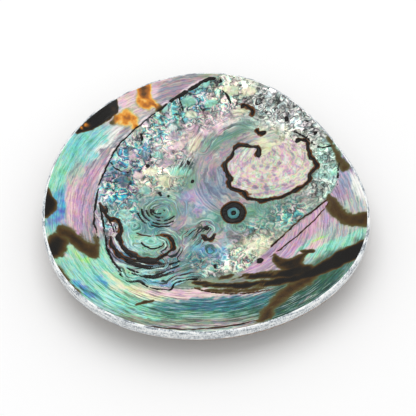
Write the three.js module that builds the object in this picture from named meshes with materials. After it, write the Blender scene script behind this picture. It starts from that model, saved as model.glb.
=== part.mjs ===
// A trimmed and polished piece of abalone shell, about 12 cm across, lying on its back with the nacre facing up.
// It is one natural solid: a shallow dish of even wall, with the low pad of the muscle scar on its hollow side,
// a ground upright edge with a rounded lip, and a small spot on its back that is ground flat, so that it rests.
// Millimetres, +Z up. The origin is under the middle of the outline, on the plane that the shell rests on.
import * as THREE from "three";

// Outline: the mean radius, and the lobes that pull the circle into the shell's rounded triangle.
// Each lobe adds size * cos(count * angle - turn).
const MEAN_RADIUS = 60.25;
const LOBES = [
  { count: 1, size: 0.5, turn: 90 },
  { count: 2, size: 0.65, turn: -26 },
  { count: 3, size: 1.95, turn: -74 },
  { count: 4, size: 0.65, turn: -75 },
  { count: 5, size: 0.4, turn: -20 },
];

// Section: the hollow side rises by DISH_DEPTH from the middle to the lip.
const WALL = 4.5;
const EDGE_HEIGHT = 4.8;
const DISH_DEPTH = 12;
const DISH_POWER = 2.2;
const LIP_ROUND = 1.2;
const BACK_CHAMFER = 0.5;
const GROUND_OFF = 0.5; // what is taken off the back to make its flat spot

// The scar pad, an oval swelling of the hollow side: full height inside its inner share, none at the lip.
const PAD = { x: 3.2, y: 11.5, long: 56, short: 38, turn: 40, height: 1.5, inner: 0.72, fade: 6 };

// The lip is not quite level: it rises and falls by LIP_WAVE twice round.
const LIP_WAVE = { size: 0.5, turn: 60 };

// Mesh steps.
const TURN_STEPS = 88;
const DISH_STEPS = 12;
const ROUND_STEPS = 3;
const BACK_STEPS = 10;

const LIP_Z = WALL + DISH_DEPTH;
const BACK_EDGE_Z = LIP_Z - EDGE_HEIGHT;
const BACK_RISE = BACK_EDGE_Z + GROUND_OFF;
const FLAT_SHARE = Math.pow(GROUND_OFF / BACK_RISE, 1 / DISH_POWER);

// The distance from the middle to the outline, at an angle in radians.
function outlineRadius(angle) {
  return LOBES.reduce(
    (sum, lobe) =>
      sum + lobe.size * Math.cos(lobe.count * angle - THREE.MathUtils.degToRad(lobe.turn)),
    MEAN_RADIUS,
  );
}

// How far the pad stands up at a point: full inside its inner oval, and fading smoothly to its edge.
function padHeight(x, y) {
  const turn = THREE.MathUtils.degToRad(PAD.turn);
  const along = (x - PAD.x) * Math.cos(turn) + (y - PAD.y) * Math.sin(turn);
  const across = (y - PAD.y) * Math.cos(turn) - (x - PAD.x) * Math.sin(turn);
  const out = Math.hypot(along / PAD.long, across / PAD.short);
  return PAD.height * (1 - THREE.MathUtils.smoothstep(out, PAD.inner, 1));
}

// How far the wave lifts a point: nothing on the flat spot, and all of it at the lip.
function waveHeight(angle, share) {
  const out = Math.max(0, (share - FLAT_SHARE) / (1 - FLAT_SHARE));
  return LIP_WAVE.size * out ** 3 * Math.cos(2 * angle - THREE.MathUtils.degToRad(LIP_WAVE.turn));
}

// The section from the middle of the back, round the edge, to the middle of the hollow side.
function sectionProfile() {
  const points = [new THREE.Vector2(0, 0)];
  const backSpan = MEAN_RADIUS - BACK_CHAMFER;
  for (let i = 0; i <= BACK_STEPS; i++) {
    const share = FLAT_SHARE + (1 - FLAT_SHARE) * (i / BACK_STEPS);
    const z = BACK_RISE * Math.pow(share, DISH_POWER) - GROUND_OFF;
    points.push(new THREE.Vector2(share * backSpan, Math.max(0, z)));
  }
  points.push(new THREE.Vector2(MEAN_RADIUS, BACK_EDGE_Z + BACK_CHAMFER));
  for (let i = 0; i <= ROUND_STEPS; i++) {
    const turn = (i / ROUND_STEPS) * (Math.PI / 2);
    points.push(
      new THREE.Vector2(
        MEAN_RADIUS - LIP_ROUND * (1 - Math.cos(turn)),
        LIP_Z - LIP_ROUND * (1 - Math.sin(turn)),
      ),
    );
  }
  const dishSpan = MEAN_RADIUS - LIP_ROUND;
  for (let i = DISH_STEPS - 1; i >= 0; i--) {
    const share = i / DISH_STEPS;
    points.push(
      new THREE.Vector2(share * dishSpan, WALL + DISH_DEPTH * Math.pow(share, DISH_POWER)),
    );
  }
  return points;
}

// Pulls the turned dish into the outline, and raises the pad and the lip's wave.
function shapeShell(geometry) {
  const position = geometry.getAttribute("position");
  for (let i = 0; i < position.count; i++) {
    const x = position.getX(i);
    const y = position.getY(i);
    const z = position.getZ(i);
    const angle = Math.atan2(y, x);
    const share = Math.hypot(x, y) / MEAN_RADIUS;
    const radius = share * outlineRadius(angle);
    const px = radius * Math.cos(angle);
    const py = radius * Math.sin(angle);
    const onHollowSide = z > BACK_RISE * Math.pow(share, DISH_POWER) + WALL / 2;
    const pad = onHollowSide ? padHeight(px, py) * (1 - share ** PAD.fade) : 0;
    position.setXYZ(i, px, py, z + waveHeight(angle, share) + pad);
  }
}

// The whole shell, moved so that the middle of its outline's box is over the origin.
function shellGeometry() {
  const geometry = new THREE.LatheGeometry(sectionProfile(), TURN_STEPS);
  geometry.rotateX(Math.PI / 2);
  shapeShell(geometry);
  geometry.computeBoundingBox();
  const box = geometry.boundingBox;
  geometry.translate(-(box.min.x + box.max.x) / 2, -(box.min.y + box.max.y) / 2, 0);
  geometry.computeVertexNormals();
  return geometry;
}

const nacre = new THREE.MeshStandardMaterial({ color: 0x9fc4bf, roughness: 0.25, metalness: 0.2 });

const shell = new THREE.Mesh(shellGeometry(), nacre);
shell.name = "abalone_shell";

const part = new THREE.Group();
part.name = "abalone shell";
part.add(shell);

export default part;
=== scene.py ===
import math

import bpy
import numpy as np
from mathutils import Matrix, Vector


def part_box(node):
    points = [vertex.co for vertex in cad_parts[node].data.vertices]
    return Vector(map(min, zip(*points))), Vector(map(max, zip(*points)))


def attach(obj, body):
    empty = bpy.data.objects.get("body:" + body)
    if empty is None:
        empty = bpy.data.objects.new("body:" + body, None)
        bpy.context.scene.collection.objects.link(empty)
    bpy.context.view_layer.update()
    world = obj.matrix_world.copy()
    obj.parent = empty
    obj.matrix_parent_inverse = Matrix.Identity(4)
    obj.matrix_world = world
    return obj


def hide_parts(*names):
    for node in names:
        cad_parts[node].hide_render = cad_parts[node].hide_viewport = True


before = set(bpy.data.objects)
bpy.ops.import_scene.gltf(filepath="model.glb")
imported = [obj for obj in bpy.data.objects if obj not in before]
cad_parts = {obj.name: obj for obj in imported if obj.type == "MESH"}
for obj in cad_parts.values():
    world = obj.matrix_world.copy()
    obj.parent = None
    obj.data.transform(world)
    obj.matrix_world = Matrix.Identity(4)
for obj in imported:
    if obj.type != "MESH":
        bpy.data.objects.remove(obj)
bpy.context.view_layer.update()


# ---------------------------------------------------------------- camera
# A long lens looks down on the shell from in front, square to its widest side. It is far off, so the
# outline shows little perspective, and all of the shell is sharp.
MM = 0.001
CAMERA_ELEVATION = math.radians(56)
CAMERA_DISTANCE = 480 * MM
CAMERA_AIM = Vector((0.8, -3.27, 11.5)) * MM

LENS_LENGTH = 110
SENSOR_WIDTH = 36
NEAREST_SEEN = 0.01

camera_data = bpy.data.cameras.new("camera")
camera_data.lens = LENS_LENGTH
camera_data.sensor_width = SENSOR_WIDTH
camera_data.clip_start = NEAREST_SEEN
camera = bpy.data.objects.new("camera", camera_data)
camera_way = Vector((0, -math.cos(CAMERA_ELEVATION), math.sin(CAMERA_ELEVATION)))
camera.location = CAMERA_AIM + camera_way * CAMERA_DISTANCE
camera.rotation_euler = (math.radians(90) - CAMERA_ELEVATION, 0, 0)
bpy.context.scene.collection.objects.link(camera)
bpy.context.scene.camera = camera
bpy.context.scene.view_settings.view_transform = "Standard"


# ---------------------------------------------------------------- table and studio light
# The shell lies on a white matt table top. One large soft box hangs behind and above it, turned to face the
# middle of the shell, and the pale room fills the shadows.
TABLE_HALF = 1.5
TABLE_WHITE = (0.96, 0.96, 0.96, 1)
TABLE_ROUGHNESS = 0.7
TABLE_SHINE = 0.1
ROOM_LIGHT = 0.78
SOFT_BOX_PLACE = Vector((-0.05, 0.20, 0.85))
SOFT_BOX_SIZE = 0.7
SOFT_BOX_WATTS = 2.6

table_mesh = bpy.data.meshes.new("table")
table_corners = [(-TABLE_HALF, -TABLE_HALF, 0), (TABLE_HALF, -TABLE_HALF, 0)]
table_corners += [(TABLE_HALF, TABLE_HALF, 0), (-TABLE_HALF, TABLE_HALF, 0)]
table_mesh.from_pydata(table_corners, [], [(0, 1, 2, 3)])
table = bpy.data.objects.new("table", table_mesh)
bpy.context.scene.collection.objects.link(table)
table_paint = bpy.data.materials.new("table_white")
table_paint.use_nodes = True
table_surface = table_paint.node_tree.nodes["Principled BSDF"]
table_surface.inputs["Base Color"].default_value = TABLE_WHITE
table_surface.inputs["Roughness"].default_value = TABLE_ROUGHNESS
table_surface.inputs["Specular IOR Level"].default_value = TABLE_SHINE
table_mesh.materials.append(table_paint)

room = bpy.data.worlds.new("room")
room.use_nodes = True
room.node_tree.nodes["Background"].inputs["Color"].default_value = (1, 1, 1, 1)
room.node_tree.nodes["Background"].inputs["Strength"].default_value = ROOM_LIGHT
bpy.context.scene.world = room

soft_box_light = bpy.data.lights.new("key_soft_box", "AREA")
soft_box_light.shape = "SQUARE"
soft_box_light.size = SOFT_BOX_SIZE
soft_box_light.energy = SOFT_BOX_WATTS
soft_box = bpy.data.objects.new("key_soft_box", soft_box_light)
soft_box.location = SOFT_BOX_PLACE
soft_box.rotation_euler = (CAMERA_AIM - SOFT_BOX_PLACE).to_track_quat("-Z", "Y").to_euler()
bpy.context.scene.collection.objects.link(soft_box)


# ---------------------------------------------------------------- the shell's form
# An abalone shell cut to a rounded outline and polished. It is a shallow dish about as thick all over as
# its upright ground edge, and it stands on a small flat that is ground on the crown of its back. Lengths
# are in mm until the mesh is made.
MEAN_RADIUS = 60.25
OUTLINE_WAVES = ((1, 0.5, 90), (2, 0.65, -26), (3, 1.95, -74), (4, 0.65, -75), (5, 0.4, -20))
WALL = 4.5
EDGE_HEIGHT = 4.8
DISH_DEPTH = 12.0
DISH_POWER = 2.2
LIP_ROUND = 1.2
BACK_CHAMFER = 0.5
GROUND_OFF = 0.5
LIP_WAVE = 0.5
LIP_WAVE_TURN = math.radians(60)
PAD_MIDDLE = (3.2, 11.5)
PAD_HALF = (56.0, 38.0)
PAD_TURN = 40
PAD_HEIGHT = 1.5
PAD_INNER = 0.72
PAD_FADE = 6
LIP_Z = WALL + DISH_DEPTH
BACK_RISE = DISH_DEPTH + WALL - EDGE_HEIGHT + GROUND_OFF
LIP_START = 1 - LIP_ROUND / MEAN_RADIUS
POLISHED = 0.9994
FLAT_SHARE = (GROUND_OFF / BACK_RISE) ** (1 / DISH_POWER)


def outline_radius(angle):
    """The cut outline, in mm from its middle: the mean radius plus one cosine wave for each lobe."""
    radius = np.full(np.shape(angle), MEAN_RADIUS)
    for count, size, turn in OUTLINE_WAVES:
        radius = radius + size * np.cos(count * angle - math.radians(turn))
    return radius


def ease(value, low, high):
    """0 below low, 1 above high, and a smooth S between them."""
    step = np.clip((value - low) / (high - low), 0, 1)
    return step * step * (3 - 2 * step)


OUTLINE_STEPS = 1441
around = np.linspace(0, 2 * math.pi, OUTLINE_STEPS)
outline_x = outline_radius(around) * np.cos(around)
outline_y = outline_radius(around) * np.sin(around)
low_corner, high_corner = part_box("abalone_shell")
MIDDLE_X = (low_corner.x + high_corner.x) / 2 / MM - (outline_x.min() + outline_x.max()) / 2
MIDDLE_Y = (low_corner.y + high_corner.y) / 2 / MM - (outline_y.min() + outline_y.max()) / 2


def lip_wave(share, angle):
    """The slow rise and fall of the lip: a double wave round the shell that dies away at the flat."""
    out = np.maximum(0, (share - FLAT_SHARE) / (1 - FLAT_SHARE))
    return LIP_WAVE * out ** 3 * np.cos(2 * angle - LIP_WAVE_TURN)


def turned(east, north, degrees):
    """How far a place lies along, and across, a line through the origin turned by so many degrees."""
    turn = math.radians(degrees)
    return east * math.cos(turn) + north * math.sin(turn), north * math.cos(turn) - east * math.sin(turn)


def hollow_height(share, angle):
    """Height of the hollow side: wall, a power curve of the share out, the scar's pad and the lip wave."""
    east = share * outline_radius(angle) * np.cos(angle) - PAD_MIDDLE[0]
    north = share * outline_radius(angle) * np.sin(angle) - PAD_MIDDLE[1]
    along, across = turned(east, north, PAD_TURN)
    pad_away = np.hypot(along / PAD_HALF[0], across / PAD_HALF[1])
    pad = PAD_HEIGHT * (1 - ease(pad_away, PAD_INNER, 1)) * (1 - share ** PAD_FADE)
    dish = DISH_DEPTH * np.clip(share / LIP_START, 0, 1) ** DISH_POWER
    return WALL + dish + pad + lip_wave(share, angle)


def back_height(share, angle):
    """Height of the back: the dish's curve at the back's own depth, cut off level by the ground flat."""
    return np.maximum(0, BACK_RISE * share ** DISH_POWER - GROUND_OFF) + lip_wave(share, angle)


def disc_grid(cells):
    """Share out and angle of a square grid on a disc: each square ring becomes an evenly divided circle."""
    line = np.linspace(-1, 1, cells + 1)
    across, up = np.meshgrid(line, line)
    wide = abs(across) >= abs(up)
    reach = np.where(wide, across, up)
    safe = np.where(reach == 0, 1, reach)
    turn = np.where(wide, math.pi / 4 * up / safe, math.pi / 2 - math.pi / 4 * across / safe)
    angle = np.arctan2(reach * np.sin(turn), reach * np.cos(turn))
    return abs(reach).ravel(), angle.ravel()


def grid_rim(cells):
    """Index of each border point of such a grid, once round anticlockwise, from the lower right corner."""
    index = np.arange((cells + 1) ** 2).reshape(cells + 1, cells + 1)
    return np.concatenate([index[:-1, -1], index[-1, :0:-1], index[:0:-1, 0], index[0, :-1]])


HOLLOW_CELLS = 264
BACK_CELLS = HOLLOW_CELLS // 2
hollow_share, hollow_angle = disc_grid(HOLLOW_CELLS)
back_share, back_angle = disc_grid(BACK_CELLS)


def place_on_plan(share, angle):
    """East and north of a point: its share of the outline's radius, along its angle from the middle."""
    reach = share * outline_radius(angle) * POLISHED
    return MIDDLE_X + reach * np.cos(angle), MIDDLE_Y + reach * np.sin(angle)


share_out = hollow_share * LIP_START
plan_x, plan_y = place_on_plan(share_out, hollow_angle)


# ---------------------------------------------------------------- tools for growth marks
# What the animal laid down isn't regular, so marks are listed lines and patches, made uneven with
# noise. Their places are in mm from a point just south of the outline's middle.
MARKS_MIDDLE = (0.0, -0.52)
x = plan_x - MARKS_MIDDLE[0]
y = plan_y - MARKS_MIDDLE[1]


def lattice_random(column, row, seed):
    """A fixed number from 0 to 1 for a column, row and seed, which are multiplied, shifted and mixed."""
    mixed = column.astype(np.int64) * 374761393 + row.astype(np.int64) * 668265263 + seed * 974634777
    mixed &= 0xFFFFFFFF
    mixed = ((mixed ^ (mixed >> 13)) * 1274126177) & 0xFFFFFFFF
    return ((mixed ^ (mixed >> 16)) & 0xFFFFFF) / 0xFFFFFF


def soft_noise(east, north, seed):
    """Noise from -1 to 1, one bump a unit: the random numbers of a place's four corners, eased together."""
    column = np.floor(east)
    row = np.floor(north)
    right = ease(east - column, 0, 1)
    up = ease(north - row, 0, 1)
    low, high = (
        lattice_random(column, level, seed) * (1 - right) + lattice_random(column + 1, level, seed) * right
        for level in (row, row + 1)
    )
    return 2 * (low * (1 - up) + high * up) - 1


def rough_noise(east, north, seed, octaves=4):
    """Soft noise summed at halving sizes and strengths, each octave turned 37 degrees so no grid shows."""
    total = 0
    for octave in range(octaves):
        total = total + soft_noise(east, north, seed + octave) * 0.5 ** octave
        east, north = 2 * (0.8 * east - 0.6 * north), 2 * (0.6 * east + 0.8 * north)
    return total / 1.9


def worley(east, north, seed):
    """Worley cells a unit wide: distance to the nearest centre, gap to the next, two random tags a cell."""
    first = np.full(np.shape(east), 9.0)
    second = np.full(np.shape(east), 9.0)
    tag = np.zeros(np.shape(east))
    other_tag = np.zeros(np.shape(east))
    for step_east in (-1, 0, 1):
        for step_north in (-1, 0, 1):
            column = np.floor(east) + step_east
            row = np.floor(north) + step_north
            centre_east = column + lattice_random(column, row, seed)
            centre_north = row + lattice_random(column, row, seed + 1)
            away = np.hypot(east - centre_east, north - centre_north)
            nearer = away < first
            second = np.where(nearer, first, np.minimum(second, away))
            tag = np.where(nearer, lattice_random(column, row, seed + 2), tag)
            other_tag = np.where(nearer, lattice_random(column, row, seed + 3), other_tag)
            first = np.where(nearer, away, first)
    return first, second - first, tag, other_tag


def rounded(points, closed=False, steps=5):
    """A smooth line through given points: a Catmull-Rom cubic for each span, cut into equal steps."""
    points = np.array(points, float)
    if closed:
        before, start, end, after = (np.roll(points, shift, axis=0) for shift in (1, 0, -1, -2))
    else:
        padded = np.vstack([2 * points[0] - points[1], points, 2 * points[-1] - points[-2]])
        before, start, end, after = padded[:-3], padded[1:-2], padded[2:-1], padded[3:]
    t = np.linspace(0, 1, steps, endpoint=False)[:, None, None]
    line = 2 * start + (end - before) * t + (2 * before - 5 * start + 4 * end - after) * t ** 2
    line = (line + (3 * start - before - 3 * end + after) * t ** 3) / 2
    line = line.transpose(1, 0, 2).reshape(-1, 2)
    return line if closed else np.vstack([line, points[-1]])


FAR = 20.0


def distance_to(east, north, line, closed=False):
    """Distance from each place to the nearest straight piece of a line, or FAR when it is further off."""
    nearest = np.full(east.shape, FAR)
    low = line.min(axis=0) - FAR
    high = line.max(axis=0) + FAR
    near = (east > low[0]) & (east < high[0]) & (north > low[1]) & (north < high[1])
    px, py = east[near], north[near]
    best = np.full(px.shape, FAR)
    starts = line if closed else line[:-1]
    ends = np.roll(line, -1, axis=0) if closed else line[1:]
    for (ax, ay), (bx, by) in zip(starts, ends):
        run_x, run_y = bx - ax, by - ay
        along = np.clip(((px - ax) * run_x + (py - ay) * run_y) / (run_x ** 2 + run_y ** 2 + 1e-9), 0, 1)
        best = np.minimum(best, np.hypot(px - ax - along * run_x, py - ay - along * run_y))
    nearest[near] = best
    return nearest


def is_inside(east, north, line):
    """True where a closed line goes round a place: a ray to the east crosses it an odd number of times."""
    inside = np.zeros(east.shape, bool)
    for (ax, ay), (bx, by) in zip(line, np.roll(line, -1, axis=0)):
        if ay != by:
            inside ^= ((ay > north) != (by > north)) & (east < (bx - ax) * (north - ay) / (by - ay) + ax)
    return inside


def depth_inside(east, north, points):
    """How far a place is inside a smooth closed outline through the points; less than 0 outside it."""
    line = rounded(points, closed=True)
    away = distance_to(east, north, line, closed=True)
    return np.where(is_inside(east, north, line), away, -away)


def strongest(places):
    """The greatest of the places' amounts at each point, each fading as a bell curve over its reach."""
    total = np.zeros_like(x)
    for east, north, reach, amount in places:
        total = np.maximum(total, amount * np.exp(-((x - east) ** 2 + (y - north) ** 2) / reach ** 2))
    return total


def displaced(east, north, amount, size, seeds, octaves):
    """Places moved east and north by up to amount, by two rough noises with bumps of a size, all in mm."""
    return (
        east + amount * rough_noise(x / size, y / size, seeds[0], octaves),
        north + amount * rough_noise(x / size, y / size, seeds[1], octaves),
    )


# Every outline wanders by a fraction of a millimetre, as the animal's own edges do.
wander_x, wander_y = displaced(x, y, 0.45, 2.2, (11, 21), 2)


# ---------------------------------------------------------------- the muscle scar
# Where the foot's muscle held on, the nacre is raised, knobby and cracked. Its border is a deep black
# seam along the upper left, fading to fine brown growth lines at the lower right.
SCAR_OUTLINE = (
    (-1, 56), (14, 60), (30, 58), (46, 45), (54, 30), (52, 16), (48, 4), (36, -7), (23, -19), (14, -28),
    (6, -31), (-5, -32), (-13, -36), (-26, -34), (-33, -29), (-38, -15), (-43, -2), (-41, 9), (-36, 24),
    (-27, 36), (-15, 47),
)
scar_depth = depth_inside(wander_x, wander_y, SCAR_OUTLINE)
in_scar = ease(scar_depth, -0.3, 0.5)
rim_fade = 1 - ease(share_out, 0.955, LIP_START)

# How knobby the scar is: strong along its top and left, calm in the violet middle and on the island. Each
# place has its reach and its amount.
KNOBBY_PLACES = (
    (10, 52, 14, 1.0), (28, 46, 14, 1.0), (40, 34, 12, 1.0), (-6, 44, 13, 0.95), (-18, 36, 13, 0.9),
    (-27, 22, 13, 0.95), (-34, 8, 10, 0.95), (-20, 14, 12, 0.8), (-10, 24, 9, 0.7), (46, 18, 8, 0.8),
    (43, 7, 8, 0.8), (34, -2, 7, 0.7), (10, -22, 9, 0.7), (14, -25, 8, 0.8), (-1, -24, 7, 0.6),
    (-36, -10, 6, 0.8), (24, -12, 8, 0.5), (18, -10, 7, 0.6), (30, -4, 8, 0.7), (4, -27, 7, 0.7),
    (-30, -2, 7, 0.8),
)
CALM_PLACES = (
    (6, 18, 13, 1.0), (4, 8, 10, 1.0), (14, 30, 9, 1.0), (-2, 30, 4, 1.0), (24, 14, 12, 1.0),
    (32, 14, 9, 1.0), (-16, 0, 8, 1.0), (-12, -6, 8, 1.0), (-20, -18, 11, 1.0), (-18, -32, 9, 1.0),
    (2, -17, 6, 1.0), (-6, -8, 7, 1.0), (10, -2, 6, 1.0), (21, 3, 3, 1.0),
)
knobby = in_scar * np.clip(1.35 * strongest(KNOBBY_PLACES) - 0.75 * strongest(CALM_PLACES), 0, 1)

# Big smooth flakes lie among the knobs: place, half length, half width, turn in degrees, and tint.
BIG_FLAKES = (
    (10, 52, 3.6, 2.6, 0, "cream"), (17, 51, 3.2, 2.2, -10, "cream"), (14, 43, 4.0, 2.0, 10, "cream"),
    (5, 35, 2.0, 2.2, 30, "blush"), (-4, 30, 5.0, 2.4, 60, "cream"), (-11, 28, 2.8, 2.4, 20, "blush"),
    (-10, 17, 4.8, 2.4, 10, "mint"), (-7, 48, 3.2, 2.2, 20, "mint"), (0, 55, 2.4, 1.6, 70, "aqua"),
    (-29, 23, 1.6, 2.0, 0, "blush"), (-19, 24, 2.6, 2.2, 0, "mint"), (-24, 23, 2.2, 2.4, 0, "deep_teal"),
    (-32, 11, 2.6, 2.6, 0, "deep_teal"), (-16, 12, 2.8, 3.2, 0, "cream"), (-24, 8, 2.6, 1.8, 30, "mint"),
    (-13, 36, 2.2, 1.8, 30, "white"), (26, 30, 3.4, 2.0, -20, "silver"), (-30, -4, 2.4, 3.0, 30, "mint"),
    (-16, 44, 2.2, 1.4, 45, "aqua"), (-5, 35, 3.0, 2.0, 50, "blush"), (-16, 20, 3.0, 2.0, 10, "blush"),
    (-6, 42, 2.8, 1.8, 20, "cream"), (-21, 16, 2.6, 2.0, 30, "cream"), (-13, 32, 2.6, 2.0, 40, "rose"),
    (-8, 21, 3.0, 1.8, 30, "white"), (-26, 14, 2.4, 1.8, 0, "blush"), (2, 47, 2.6, 1.8, 10, "mint"),
)

# Two sizes of knob, the smaller one along the upper right.
fine_knobs = ease(x + 0.55 * y, 30, 50)
BIG_KNOB = 3.0
SMALL_KNOB = 1.5
crumple_x, crumple_y = displaced(x, y, 1.3, 3.2, (33, 37), 3)
big_first, big_gap, big_tag, big_tag_2 = worley(crumple_x / BIG_KNOB, crumple_y / BIG_KNOB, 31)
small_first, small_gap, small_tag, small_tag_2 = worley(crumple_x / SMALL_KNOB, crumple_y / SMALL_KNOB, 41)
cracked = ease(rough_noise(x / 4, y / 4, 43, 2), -0.35, 0.25)
# The crevices between knobs: the big knobs' crevices are sunk in the relief, and both sizes are darkened
# with painted shade.
crevice_depth_and_shade = (1 - ease(big_gap, 0.04, 0.26)) * cracked
small_crevice_shade = (1 - ease(small_gap, 0.05, 0.35)) * (0.35 + 0.65 * cracked)


# ---------------------------------------------------------------- black seams
# Dark horny layers come to the surface as thin black lines with a brown edge: round the island, the ring,
# the scroll at the lower left and in many short crescents. The island's seam is open along its top right.
ISLAND = (
    (20, 23), (20, 27), (13, 28), (10, 24), (7, 20), (9, 14), (9, 10), (15, 7), (18, 4), (25, 3), (32, 5),
    (38, 8), (40, 12), (43, 16), (40, 20), (40, 25), (36, 28),
)
ISLAND_CLOSING = ((33, 29), (28, 27), (24, 24))
SCROLL = (
    (-40, 0), (-37, -6), (-33, -8), (-32, -14), (-30, -20), (-25, -23), (-19, -24), (-13, -19), (-13, -14),
    (-16, -12),
)
OUTER_SCROLL = ((-36, -16), (-33, -22), (-27, -25), (-17, -25))
LOWER_BORDER = (
    (-32, -30), (-29, -34), (-24, -34), (-21, -36), (-13, -37), (-11, -34), (-6, -32), (-2, -32),
)
BOLD_SEAMS = (
    ISLAND, SCROLL, OUTER_SCROLL, ((14, 45), (18, 43), (18, 41)), ((20, 34), (21, 32), (23, 33)),
    ((-1, -12), (0, -14), (2, -14), (3, -12)),
)
FINE_SEAMS = (
    LOWER_BORDER, ((6, 57), (6, 53), (9, 49), (10, 46)), ((-11, 50), (-9, 44)), ((-26, 34), (-25, 30)),
    ((-37, 19), (-34, 16), (-30, 15)), ((20, 47), (20, 45), (24, 46)),
    ((35, 31), (39, 28), (44, 23), (48, 23)), ((51, 16), (50, 7)),
    ((-40, -1), (-38, -12), (-36, -22), (-31, -30)), ((-31, -25), (-20, -28), (-10, -24)),
    ((-29, -28), (-20, -31), (-10, -26)), ((-32, -24), (-22, -27), (-14, -25)),
    ((-28, -30), (-20, -32), (-12, -29)), ((-34, -10), (-32, -17), (-28, -23), (-22, -25)),
    ((-41, 8), (-42, -2), (-42, -9), (-40, -15)), ((-38, -1), (-36, -8), (-33, -16)),
)
BORDER_SEAM = ((-41, 9), (-36, 24), (-27, 36), (-15, 47), (-1, 56), (3, 57))
# Arcs of the whorls' sheets: middle, radius, and the angles in degrees that they run between.
WHORL_ARCS = (
    (-18, -1, 2.0, 150, 400), (-17, -1, 4.0, 170, 300), (-17, -1, 5.6, 185, 330), (-17, -1, 7.4, 180, 310),
    (-17, -1, 9.2, 195, 290), (-20, -15, 4.5, 200, 340),
)
BROWN_LINES = (
    ((46, 1), (35, -7), (24, -18)), ((47, 0), (40, -8), (31, -16), (24, -22)),
    ((23, -38), (12, -39), (2, -38), (-4, -36)), ((-30, -55), (-12, -57), (5, -56), (18, -53)),
    ((-26, -12), (-21, -13), (-17, -12)),
)
SPOTS = (
    (0, -8, 1.0), (-7, 21, 0.9), (-4.5, 12.5, 0.7), (-17.5, 6.5, 0.6), (-14, 6, 0.6), (20, -23.5, 1.2),
    (3.5, -26.5, 0.9), (36, 27, 1.0), (42, 29, 0.9), (-23, 19, 0.9), (32, 37, 0.9), (39, 35, 0.7),
    (27, 42, 0.6),
)


def seam_strength(distance, half_width):
    """1 within half of a seam's half width, 0.5 at its edge and 0 at one and a half times that."""
    return np.clip(1.5 - distance / half_width, 0, 1)


BOLD_HALF = 0.52
BROWN_HALF = 0.95
FINE_HALF = 0.34
ARC_HALF = 0.32
BROWN_LINE_HALF = 0.36
BROWN_CORE_HALF = 0.3
ARC_STEPS = 24
ARC_SQUEEZE = 0.8
seam = np.zeros_like(x)
brown_edge = np.zeros_like(x)
uneven = 1 + 0.4 * rough_noise(x / 2.4, y / 2.4, 53, 3)
broken = ease(rough_noise(x / 2, y / 2, 57, 3), -0.55, -0.1)
jagged_x, jagged_y = displaced(wander_x, wander_y, 1.2, 2.6, (58, 59), 3)
for points in BOLD_SEAMS:
    away = distance_to(jagged_x, jagged_y, rounded(points))
    seam = np.maximum(seam, seam_strength(away, BOLD_HALF * uneven))
    brown_edge = np.maximum(brown_edge, seam_strength(away, BROWN_HALF * (2 - uneven)))
for points in FINE_SEAMS:
    away = distance_to(wander_x, wander_y, rounded(points))
    seam = np.maximum(seam, seam_strength(away, FINE_HALF * uneven ** 2) * broken)
for east, north, radius, start_turn, end_turn in WHORL_ARCS:
    turns = np.radians(np.linspace(start_turn, end_turn, ARC_STEPS))
    arc = np.column_stack([east + radius * np.cos(turns), north + ARC_SQUEEZE * radius * np.sin(turns)])
    away = distance_to(wander_x, wander_y, arc)
    seam = np.maximum(seam, seam_strength(away, ARC_HALF * uneven ** 2) * broken)
for points in BROWN_LINES:
    away = distance_to(wander_x, wander_y, rounded(points))
    brown_edge = np.maximum(brown_edge, seam_strength(away, BROWN_LINE_HALF) * (0.45 + 0.55 * broken))
    seam = np.maximum(seam, 0.6 * seam_strength(away, BROWN_CORE_HALF) * broken)
border_away = distance_to(wander_x, wander_y, rounded(BORDER_SEAM))
pale_lip = (1 - ease(abs(scar_depth + 0.75), 0.15, 0.6)) * ease(FAR - border_away, FAR - 3, FAR - 1.5)
pale_lip *= ease(rough_noise(x / 3, y / 3, 55, 2), -0.5, 0.1)
border_width = 0.35 + 0.45 * ease(x, -24, -8)
border_broken = ease(rough_noise(x / 2.5, y / 2.5, 51), -0.7, -0.2)
seam = np.maximum(seam, seam_strength(border_away, border_width) * border_broken)
for east, north, radius in SPOTS:
    spot = np.hypot(jagged_x - east, jagged_y - north)
    seam = np.maximum(seam, seam_strength(spot, radius))

# The ring: a round black well with a teal pearl and a black pupil.
RING_MIDDLE = (10.5, -1.6)
RING_HALF = (4.8, 5.0)
RING_PEARL = 2.2
RING_PUPIL = 0.9
ring_away = np.hypot(x - RING_MIDDLE[0], (y - RING_MIDDLE[1]) * RING_HALF[0] / RING_HALF[1])
ring_away = ring_away + 0.3 * rough_noise(x / 1.6, y / 1.6, 63, 3)
ring_black = ease(ring_away, RING_PEARL, RING_PEARL + 0.35)
ring_black *= 1 - ease(ring_away, RING_HALF[0] - 0.4, RING_HALF[0])
ring_black = np.maximum(ring_black, 1 - ease(ring_away, RING_PUPIL - 0.2, RING_PUPIL + 0.25))
seam = np.maximum(seam, ring_black)
brown_edge = np.maximum(brown_edge, 1 - ease(abs(ring_away - RING_HALF[0]), 0.1, 0.5))


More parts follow.
